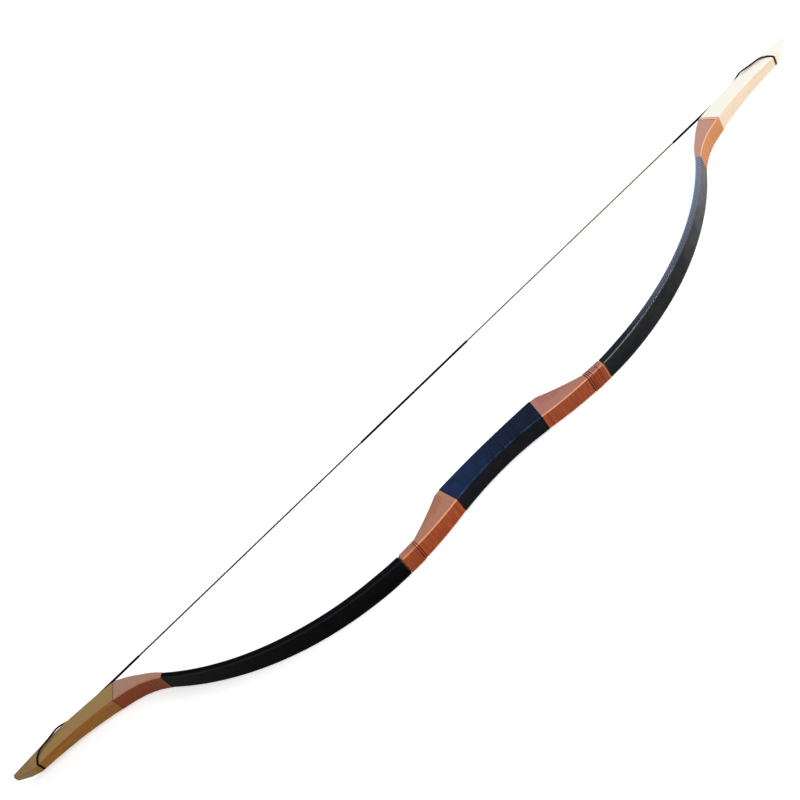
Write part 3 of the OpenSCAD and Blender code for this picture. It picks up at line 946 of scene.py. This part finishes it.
SIYAH_EDGE = 1.6
UNDER_WRAP = 0.4
wrap_start = s_grip + GLUE_LINE / 2
handle_end = s_root - 0.3
for half, side in HALVES:
    fade = winding(wrap_start, s_neck, GRIP_LEATHER - WRAP_THICKNESS, HANDLE_EDGE, side)
    # The thread under the neck binding is in shadow, and the gaps between the turns show it
    under = [[(*point[:4], -1.0) for point in shape] for shape in
             winding(s_neck + 0.5, handle_end, GRIP_LEATHER - UNDER_WRAP, HANDLE_EDGE, side)]
    under += lining(handle_end, wrap_start, GRIP_LEATHER, HANDLE_EDGE, pitch=6)
    finish_piece(loft(fade + under, half, joined=True), f"{side}_fade_thread", fade_threads[side],
                 "thread", "handle", [f"{side}_handle_wrap"], sharp=80)
    joint = winding(s_limb, s_shoulder, 0, SIYAH_EDGE, side)
    joint += lining(s_shoulder, s_limb, WRAP_THICKNESS, SIYAH_EDGE, pitch=4)
    finish_piece(loft(joint, half, joined=True), f"{side}_joint_thread", joint_threads[side],
                 "thread", f"{side}_tip", [f"{side}_joint_wrap"], sharp=80)

# %% [markdown]
# ## The neck binding
# A thicker thread is wound in open turns over the fine one, where the handle meets the limb. It is
# one cord along a helix that follows the neck's rounded section. A sweep along a path does this, so
# a second tool makes every cord of the bow: a ring of points carried along a route.


# %% Carry a ring along a route
def sweep(places, radius_at, sides, lap=0.0, flat_along=None, edge_at=None):
    """A cord along the places. lap shifts each point along the route by that many places.
    flat_along(i) gives a way in which the cord is pressed wider, and by how much. edge_at(i) is
    its edge value, for the finish."""
    form, in_wood, corner, around = start_form()
    last = len(places) - 1
    spacing = (places[1] - places[0]).length / MM
    aheads = [(places[min(i + 1, last)] - places[max(i - 1, 0)]).normalized() for i in range(last + 1)]
    outs = []
    out_way = aheads[0].orthogonal().normalized()
    for ahead in aheads:
        out_way = (out_way - ahead * out_way.dot(ahead)).normalized()
        outs.append(out_way.copy())

    def seat(ring, i):
        for j, vert in enumerate(ring):
            at = min(max(i + lap * (j / sides - 0.5), 0), last)
            low = int(at)
            high = min(low + 1, last)
            share = at - low
            centre = places[low].lerp(places[high], share)
            out_here = outs[low].lerp(outs[high], share)
            up_here = aheads[low].cross(outs[low])
            angle = math.tau * j / sides
            offset = radius_at(i) * (math.cos(angle) * out_here + math.sin(angle) * up_here)
            if flat_along:
                way, wider = flat_along(i)
                offset += (wider - 1) * offset.dot(way) * way
            vert.co = centre + offset
            vert[in_wood] = (i * spacing, 0, 0)
            vert[around] = radius_at(i) / MM * angle
            vert[corner] = edge_at(i) if edge_at else 0.0

    return draw_out(form, sides, last + 1, seat)


def along(s, half):
    """The way towards the tip at s."""
    heading = back_at(s)[2]
    return Vector((half * math.cos(heading), math.sin(heading), 0))


# %% Wind the neck binding
THREAD_D = 1.2
THREAD_TURNS = 13
THREAD_LIFT = 0.05
# Half the width that a turn is pressed to, as a share of the pitch
PRESSED = 0.52
BINDING_SIDES = 10
thread_r = THREAD_D / 2
thread_inset = GRIP_LEATHER - UNDER_WRAP - THREAD_LIFT - thread_r
thread_start = s_neck + 0.7 + thread_r
thread_end = handle_end - 0.2 - thread_r
# The turns that lie apart from the one before, and how far apart in millimetres
PARTED = {
    "upper": [(1.0, 1.0), (2.6, 1.0), (5.0, 0.5), (7.6, 1.1)],
    "lower": [(1.0, 1.0), (2.6, 0.4), (5.5, 0.3)],
}
PALE_TURN = {"upper": 0.5, "lower": 0.1}
for half, side in HALVES:
    spare = sum(gap for _, gap in PARTED[side])
    pitch = (thread_end - thread_start - spare) / THREAD_TURNS
    route = []
    aims = []
    ridges = []
    for i in range(THREAD_TURNS * RING + 1):
        turn = i / RING
        s = thread_start + pitch * turn
        s += sum(gap * min(max(turn - at + 0.5, 0), 1) for at, gap in PARTED[side])
        _, v, z, _, ridge = section(s, thread_inset, HANDLE_EDGE)[i % RING]
        route.append(spot(s, v, z, half))
        aims.append(along(s, half))
        # Each turn's ridges get a painted highlight, and the last turn the paleness of PALE_TURN.
        ridges.append(0.8 * ridge if turn < THREAD_TURNS - 1 else PALE_TURN[side])
    wider = PRESSED * pitch / thread_r
    binding = sweep(route, lambda i: thread_r * MM, BINDING_SIDES,
                    flat_along=lambda i: (aims[i], wider), edge_at=lambda i: ridges[i])
    finish_piece(binding, f"{side}_neck_thread", fade_threads[side], "thread", "handle",
                 [f"{side}_neck_binding"])
    print(f"{side} binding pitch in mm:", round(pitch, 2))

# %% [markdown]
# ## The limbs
# The limbs are what bends. Each cover is cut in two at the middle of the limb: the inner half bends
# from the handle to the limb, and the outer half from the limb to the siyah. The turn is centred on
# the hinge, so the curve stays smooth. The core and the strips inside are cut and bent the same way.

# %% Make the limb covers
COVER = 0.8
COVER_STEP = 2.5
LIMB_EDGE = 2.4
BEND_REACH = 0.1
END_GAP = 0.3
hinges = {joint["name"]: Vector(joint["pos_m"]) for joint in frame["joints"]}


def bend_inner(piece, side, half):
    at = hinges[f"{side}_limb_flex"]
    reach = Vector((half * BEND_REACH, 0, 0))
    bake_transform(piece, "handle", f"{side}_limb", start=at - reach, end=at + reach)


def bend_outer(piece, side, half):
    at = hinges[f"{side}_tip_flex"]
    reach = along(s_limb, half) * BEND_REACH
    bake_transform(piece, f"{side}_limb", f"{side}_tip", start=at - reach, end=at + reach)


for half, side in HALVES:
    for part, start, end in (("inner", s_root, s_middle), ("outer", s_middle, s_limb - END_GAP)):
        sections = [section(s, 0, LIMB_EDGE) for s in steps(start, end, COVER_STEP)]
        sections += [section(s, COVER, LIMB_EDGE) for s in steps(end, start, 2 * COVER_STEP)]
        replaced = [f"{side}_limb_cover"] if part == "inner" else []
        cover = finish_piece(loft(sections, half, joined=True), f"{side}_{part}_cover",
                             limb_leathers[side], "limb_leather", None, replaced)
        (bend_inner if part == "inner" else bend_outer)(cover, side, half)


# %% Cut and bend the core and the strips
BEND_STEP = 8
CUT_DEPTH = 4


def copied(node):
    """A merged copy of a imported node's mesh."""
    form = bmesh.new()
    form.from_mesh(frame["nodes"][node].data)
    bmesh.ops.remove_doubles(form, verts=form.verts, dist=0.001 * MM)
    return form


def cut_form(form, point, way, **options):
    """Cuts all of a form by the plane through the point and across the way."""
    everything = form.verts[:] + form.edges[:] + form.faces[:]
    return bmesh.ops.bisect_plane(form, geom=everything, plane_co=point, plane_no=way, **options)


def trimmed(node, cuts):
    """A copy of a node, kept on one side of each cut. A cut is a point and the way that is kept."""
    form = copied(node)
    for point, keep in cuts:
        cut = cut_form(form, point, keep, clear_inner=True)
        edges = [e for e in cut["geom_cut"] if isinstance(e, bmesh.types.BMEdge)]
        bmesh.ops.holes_fill(form, edges=edges, sides=0)
    return form


def ringed(form, half, start, end):
    """Cuts a form across at even steps, so that it can bend."""
    for s in steps(start, end, BEND_STEP)[1:-1]:
        cut_form(form, spot(s, 0, 0, half), along(s, half))
    bmesh.ops.triangulate(form, faces=form.faces)
    return form


LAYERS = [("limb_core", core_wood, "core_wood"), ("back_strip", laminate, "laminate"),
          ("belly_strip", laminate, "laminate")]
for half, side in HALVES:
    root, middle, outer = (spot(s, CUT_DEPTH, 0, half) for s in (s_root, s_middle, s_limb))
    root_way, middle_way, outer_way = (along(s, half) for s in (s_root, s_middle, s_limb))
    for layer, material, slot in LAYERS:
        node = f"{side}_{layer}"
        near = ringed(trimmed(node, [(root, root_way), (middle, -middle_way)]), half, s_root, s_middle)
        bend_inner(finish_piece(near, f"{node}_inner", material, slot, None, [node]), side, half)
        far = ringed(trimmed(node, [(middle, middle_way), (outer, -outer_way)]), half, s_middle, s_limb)
        bend_outer(finish_piece(far, f"{node}_outer", material, slot), side, half)
    core = f"{side}_limb_core"
    tongue = trimmed(core, [(root, -root_way)])
    finish_piece(tongue, f"{core}_tongue", core_wood, "core_wood", "handle")
    fork = trimmed(core, [(outer, outer_way)])
    finish_piece(fork, f"{core}_fork", core_wood, "core_wood", f"{side}_tip")

# %% [markdown]
# ## The siyahs
# A siyah is a stiff wooden lever, square in section, with crisp edges and a notch that seats the
# string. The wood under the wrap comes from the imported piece, which has the splice cut in it. The
# wood that shows is lofted finely, and the notch is pressed into it along the path of the loop.

# %% Find the path of the string loop
LOOP_D = 2.2
LOOP_GAP = 0.3
LOOP_REACH = 65
SERVING = 0.35
NOCK_CUT = 2.4
LEG_START = 0.2
LEG_STRAIGHT = 6
PART_BACK = 48
CURVE_STEPS = 24
loop_r = LOOP_D / 2
throat_r = LOOP_D + SERVING
x_throat = back_at(s_nock - LOOP_REACH)[0]
leg_side = loop_r + 0.1
# A leg beside the siyah: how far back from the nock, how far below the belly, and how deep in the nock
LEG_STOPS = [(38, 0.3, 0), (24, 3, 0), (11, 5.5, 0), (4, 10, 0.4), (0.8, 15, 0.7), (0, 18, 1)]


def at_x(x, z, half):
    return Vector((half * x * MM, STRING_Y, (z + Z_MID) * MM))


def leg_of_loop(half, hand):
    """One leg of the loop, from its throat to the middle of the nock. hand is 1 or -1 across."""
    s_part = s_nock - PART_BACK
    lift = depth_at(s_part) + loop_r + LOOP_GAP + LEG_START
    leg = [
        at_x(x_throat + LEG_START, hand * leg_side, half),
        at_x(x_throat + LEG_STRAIGHT, hand * leg_side, half),
        spot(s_part, lift, hand * 0.3 * between(s_part, WIDTHS), half),
    ]
    for back, down, sunk in LEG_STOPS:
        s = s_nock - back
        beside = between(s, WIDTHS) / 2 + loop_r + LOOP_GAP - sunk * NOCK_CUT
        leg.append(spot(s, depth_at(s) - down, hand * beside, half))
    over_back = NOCK_CUT - loop_r - LOOP_GAP
    corner = between(s_nock, WIDTHS) / 2 - NOCK_CUT
    return leg + [spot(s_nock, over_back, hand * corner, half), spot(s_nock, over_back, 0, half)]


def smooth_route(points, spacing):
    """A smooth curve through the points, then evened out to one spacing, in metres."""
    fine = []
    last = len(points) - 1
    for i in range(last):
        a, b, c, d = (points[min(max(i + k, 0), last)] for k in (-1, 0, 1, 2))
        for step in range(CURVE_STEPS):
            t = step / CURVE_STEPS
            fine.append(0.5 * (2 * b + (c - a) * t + (2 * a - 5 * b + 4 * c - d) * t * t
                               + (3 * b - a - 3 * c + d) * t ** 3))
    fine.append(points[-1])
    even = [fine[0]]
    run = 0.0
    for p, q in zip(fine, fine[1:]):
        gap = (q - p).length
        while run + gap >= spacing:
            share = (spacing - run) / gap
            p = p.lerp(q, share)
            even.append(p.copy())
            gap = (q - p).length
            run = 0.0
        run += gap
    return even + [fine[-1]]


def loop_route(half, spacing):
    one = leg_of_loop(half, 1)
    other = leg_of_loop(half, -1)
    return smooth_route(one + other[-2::-1], spacing)


# %% Make the siyahs
SIYAH_IN = 0.3
CRISP_EDGE = 1.1
TIP_EDGE = 1.2
# The rounding of the tip: how far back from its end, and how far drawn in there
TIP_ROUNDING = ((0.6, 0.5), (0.2, 0.9), (0, 1.5))
LEVER_STEP = 3
NOCK_STEP = 0.3
TIP_STEP = 1.5
ROUTE_STEP = 0.25
# The wood is pressed only by the cord within this reach of a point this deep at the nock
NOCK_REACH = 16
NOCK_CENTRE = 8
FINE_REACH = 6
groove_r = (loop_r + LOOP_GAP) * MM
# The lever starts a little way under the thread
s_lever = s_shoulder - 2


def siyah_places():
    """Sections set closely where the nock is cut, and more widely elsewhere."""
    shoulder = steps(s_lever, s_nock - FINE_REACH, LEVER_STEP)
    nock = steps(s_nock - FINE_REACH, s_nock + FINE_REACH, NOCK_STEP)[1:]
    return shoulder + nock + steps(s_nock + FINE_REACH, s_tip - 1, TIP_STEP)[1:]


def press_nock(form, route, half):
    """Presses the wood inwards under the loop's path, to a round-bottomed groove for the cord."""
    pressed = 0
    core = 0.5 * between(s_nock, WIDTHS)
    nearest_core = spot(s_nock, core, 0, half)
    inner_way = spot(s_nock, core + 1, 0, half) - nearest_core
    for vert in form.verts:
        closest = min(route, key=lambda p: (p - vert.co).length_squared)
        if (vert.co - closest).length > 2 * groove_r:
            continue
        # The middle of the wood beside this part of the path
        deeper = max(0.0, (closest - nearest_core).dot(inner_way.normalized()))
        inward = nearest_core + deeper * inner_way.normalized() - closest
        inward -= inward.dot(along(s_nock, half)) * along(s_nock, half)
        inward.normalize()
        sunk = (vert.co - closest).dot(inward)
        beside = vert.co - closest - sunk * inward
        if beside.length < groove_r:
            floor_at = math.sqrt(groove_r ** 2 - beside.length_squared)
            if sunk < floor_at:
                vert.co = closest + beside + floor_at * inward
                pressed += 1
    return pressed


for half, side in HALVES:
    sections = []
    for s in siyah_places():
        inset = WRAP_THICKNESS + GLUE_LINE if s < s_shoulder else SIYAH_IN
        shape = section(s, inset, CRISP_EDGE + SIYAH_IN)
        sections.append([(*leaned(s, v), z, distance, corner) for _, v, z, distance, corner in shape])
    for back, inset in TIP_ROUNDING:
        sections.append(section(s_tip - back, SIYAH_IN + inset, CRISP_EDGE + TIP_EDGE))
    visible = loft(sections, half)
    centre = spot(s_nock, NOCK_CENTRE, 0, half)
    nock = [p for p in loop_route(half, ROUTE_STEP * MM) if (p - centre).length < NOCK_REACH * MM]
    print(f"{side} nock pressed at", press_nock(visible, nock, half), "points")
    finish_piece(visible, f"{side}_siyah_lever", siyah_woods[side], "siyah_wood", f"{side}_tip",
                 [f"{side}_siyah"], sharp=35)
    # The hidden wood ends where the lever starts, on the same lean
    on_back, on_belly = (spot(*leaned(s_lever, v), 0, half) for v in (0, SHOULDER_DEPTH))
    to_limb = (on_belly - on_back).cross(Vector((0, 0, -half)))
    hidden = trimmed(f"{side}_siyah", [(on_back, to_limb)])
    finish_piece(hidden, f"{side}_siyah_splice", core_wood, "siyah_wood", f"{side}_tip")

# %% [markdown]
# ## The string
# The bare stretch of the string is a twist of three waxed bundles. Black thread is served round its
# middle, where the arrow and the fingers go, and round its ends. The loops are served too. A tube
# with a bump map would look like wire, so the twist and the serving's turns are modelled.

# %% Lay up the strands
STRAND_D = 2.3
SERVING_LENGTH = 87.5
END_SERVING = 94
THROAT = 14
LAY_LENGTH = 15
BUNDLES = 3
BUNDLE_SIDES = 8
STRAND_STEP = 1.2
UNDER_SERVING = 4
BUNDLE_R = STRAND_D / 2 / (1 + 2 / math.sqrt(3))
LAY_R = STRAND_D / 2 - BUNDLE_R
MIDDLE_GAP = 0.1
serving_r = STRAND_D / 2 + SERVING
bare_start = SERVING_LENGTH - UNDER_SERVING
bare_end = x_throat - END_SERVING + UNDER_SERVING
for half, side in HALVES:
    merged = bmesh.new()
    for bundle in range(BUNDLES):
        route = []
        for x in steps(bare_start, bare_end, STRAND_STEP):
            angle = math.tau * (x / LAY_LENGTH + bundle / BUNDLES)
            route.append(Vector((half * x * MM, STRING_Y + LAY_R * MM * math.cos(angle),
                                 (Z_MID + LAY_R * math.sin(angle)) * MM)))
        strand = sweep(route, lambda i: BUNDLE_R * MM, BUNDLE_SIDES)
        kept = bpy.data.meshes.new("strand")
        strand.to_mesh(kept)
        strand.free()
        merged.from_mesh(kept)
        bpy.data.meshes.remove(kept)
    finish_piece(merged, f"{side}_strands", tan_strands[side], "strand", f"{side}_string_half",
                 [f"{side}_string"])

# %% Serve the middle and the ends
SERVING_PITCH = 0.5
SERVING_RIB = 0.1
SERVING_STEP = SERVING_PITCH / STEPS_A_TURN
MIDDLE_SIDES = 12
END_SIDES = 14
LOOP_SIDES = 10


def serve(name, route, radius, sides, body, node):
    """A served cord along a route, with a rib for each turn. radius(i) is its radius at step i."""

    def ribbed(i):
        return (radius(i) - SERVING_RIB * RIB_PROFILE[i % STEPS_A_TURN]) * MM

    cord = sweep(route, ribbed, sides, lap=STEPS_A_TURN)
    return finish_piece(cord, name, black_serving, "serving", body, [node], sharp=80)


for half, side in HALVES:
    body = f"{side}_string_half"
    route = [at_x(x, 0, half) for x in steps(MIDDLE_GAP, SERVING_LENGTH, SERVING_STEP)]
    serve(f"{side}_middle_serving", route, lambda i: serving_r, MIDDLE_SIDES, body,
          f"{side}_centre_serving")
    places = steps(x_throat - END_SERVING, x_throat, SERVING_STEP)

    def swelling(i):
        grown = max(0.0, 1 - (x_throat - places[min(i, len(places) - 1)]) / THROAT)
        return serving_r + (throat_r - serving_r) * grown

    route = [at_x(x, 0, half) for x in places]
    serve(f"{side}_tip_serving", route, swelling, END_SIDES, body, f"{side}_end_serving")

# %% Lead the loops round the siyahs
# How far before and behind its hinge a loop turns from following the siyah to following the string
TURN_REACH = 6
for half, side in HALVES:
    route = loop_route(half, SERVING_STEP * MM)
    piece = serve(f"{side}_loop", route, lambda i: loop_r, LOOP_SIDES, None, f"{side}_string_loop")
    pivot = hinges[f"{side}_string_swing"]
    leg_way = Vector((-half * 0.8, 0.6, 0)) * TURN_REACH * MM
    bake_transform(piece, f"{side}_tip", f"{side}_string_half", start=pivot - leg_way, end=pivot + leg_way)
    print(f"{side} loop is", round(len(route) * SERVING_STEP), "mm long")

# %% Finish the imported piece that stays
riser = frame["nodes"]["riser_core"]
riser.data.materials.clear()
riser.data.materials.append(core_wood)

# %% [markdown]
# ## The studio
# A large cool lamp behind the string side is mirrored by the sides that face up, in the limbs'
# lacquer. The pink of the brown thread's sides and the blue of the black leather's sides are painted
# into their colours, as painted reflections of this lamp. A narrow lamp over the upper end draws the
# glint along the upper limb, and a soft lamp in front shows the back of the bow. The floor adds a
# little white for the camera, so the shadow on it stays faint. Floor and sky are white only for
# what the camera sees: as light they would wash out the dark leather.


# %% Lay the floor
def looked_at(tree):
    """1 for what the camera sees, straight or in a gloss, and 0 for the light on the bow."""
    ray = add_node(tree, "LightPath").outputs
    mirrored = maths(tree, "MAXIMUM", ray["Is Glossy Ray"], ray["Is Transmission Ray"])
    return maths(tree, "MAXIMUM", ray["Is Camera Ray"], mirrored)


FLOOR_SIZE = 12
FLOOR_GLOW = 0.52
# The lamps fade between these distances from the bow, in metres, and the glow makes up for it
LAMPS_FADE = (1.2, 3.0)
floor_form = bmesh.new()
bmesh.ops.create_grid(floor_form, x_segments=1, y_segments=1, size=FLOOR_SIZE / 2)
floor_mesh = bpy.data.meshes.new("floor")
floor_form.to_mesh(floor_mesh)
floor_form.free()
floor = add_object("floor", floor_mesh)
floor_material, floor_tree, floor_shader = start_material(
    "pale_floor", 0.9, Specular_IOR_Level=0.0, Base_Color=(0.9, 0.9, 0.9, 1), Emission_Color=(1, 1, 1, 1))
distance = add_node(floor_tree, "VectorMath")
distance.operation = "LENGTH"
feed(floor_tree, distance.inputs[0], coordinates(floor_tree, "Object"))
faded = ramp(floor_tree, distance.outputs["Value"], *LAMPS_FADE)
evened = maths(floor_tree, "MULTIPLY_ADD", faded, 1 - FLOOR_GLOW, FLOOR_GLOW)
feed(floor_tree, floor_shader["Emission Strength"], times(floor_tree, looked_at(floor_tree), evened))
floor_mesh.materials.append(floor_material)


# %% Hang the lamps
def lamp(name, place, aim, size, power, tint=(1, 1, 1), narrow=None):
    """A flat lamp that faces aim. It is round, or as narrow as given across its own Y."""
    light = bpy.data.lights.new(name, "AREA")
    light.shape = "RECTANGLE" if narrow else "DISK"
    light.size = size
    light.size_y = narrow or size
    light.energy = power
    light.color = tint
    hung = add_object(name, light)
    hung.location = place
    hung.rotation_euler = (Vector(aim) - Vector(place)).to_track_quat("-Z", "Y").to_euler()


lamp("cool_softbox", (0.35, 1.7, 1.55), (0.1, 0, 0), 1.5, 30, tint=(0.55, 0.77, 1.0))
lamp("glint_strip", (1.35, -0.74, 1.8), (0.25, -0.08, 0), 1.3, 16, narrow=0.14)
lamp("front_fill", (0.9, -2.2, 0.8), (0, 0, 0), 1.2, 30)

# %% Light the room
WORLD_LIGHT = 0.35
world = bpy.data.worlds.new("studio")
bpy.context.scene.world = world
world.use_nodes = True
room = world.node_tree
sky = room.nodes["Background"].inputs
sky["Color"].default_value = (1, 1, 1, 1)
feed(room, sky["Strength"], maths(room, "MULTIPLY_ADD", looked_at(room), 1 - WORLD_LIGHT, WORLD_LIGHT))
bpy.context.scene.view_settings.view_transform = "Standard"
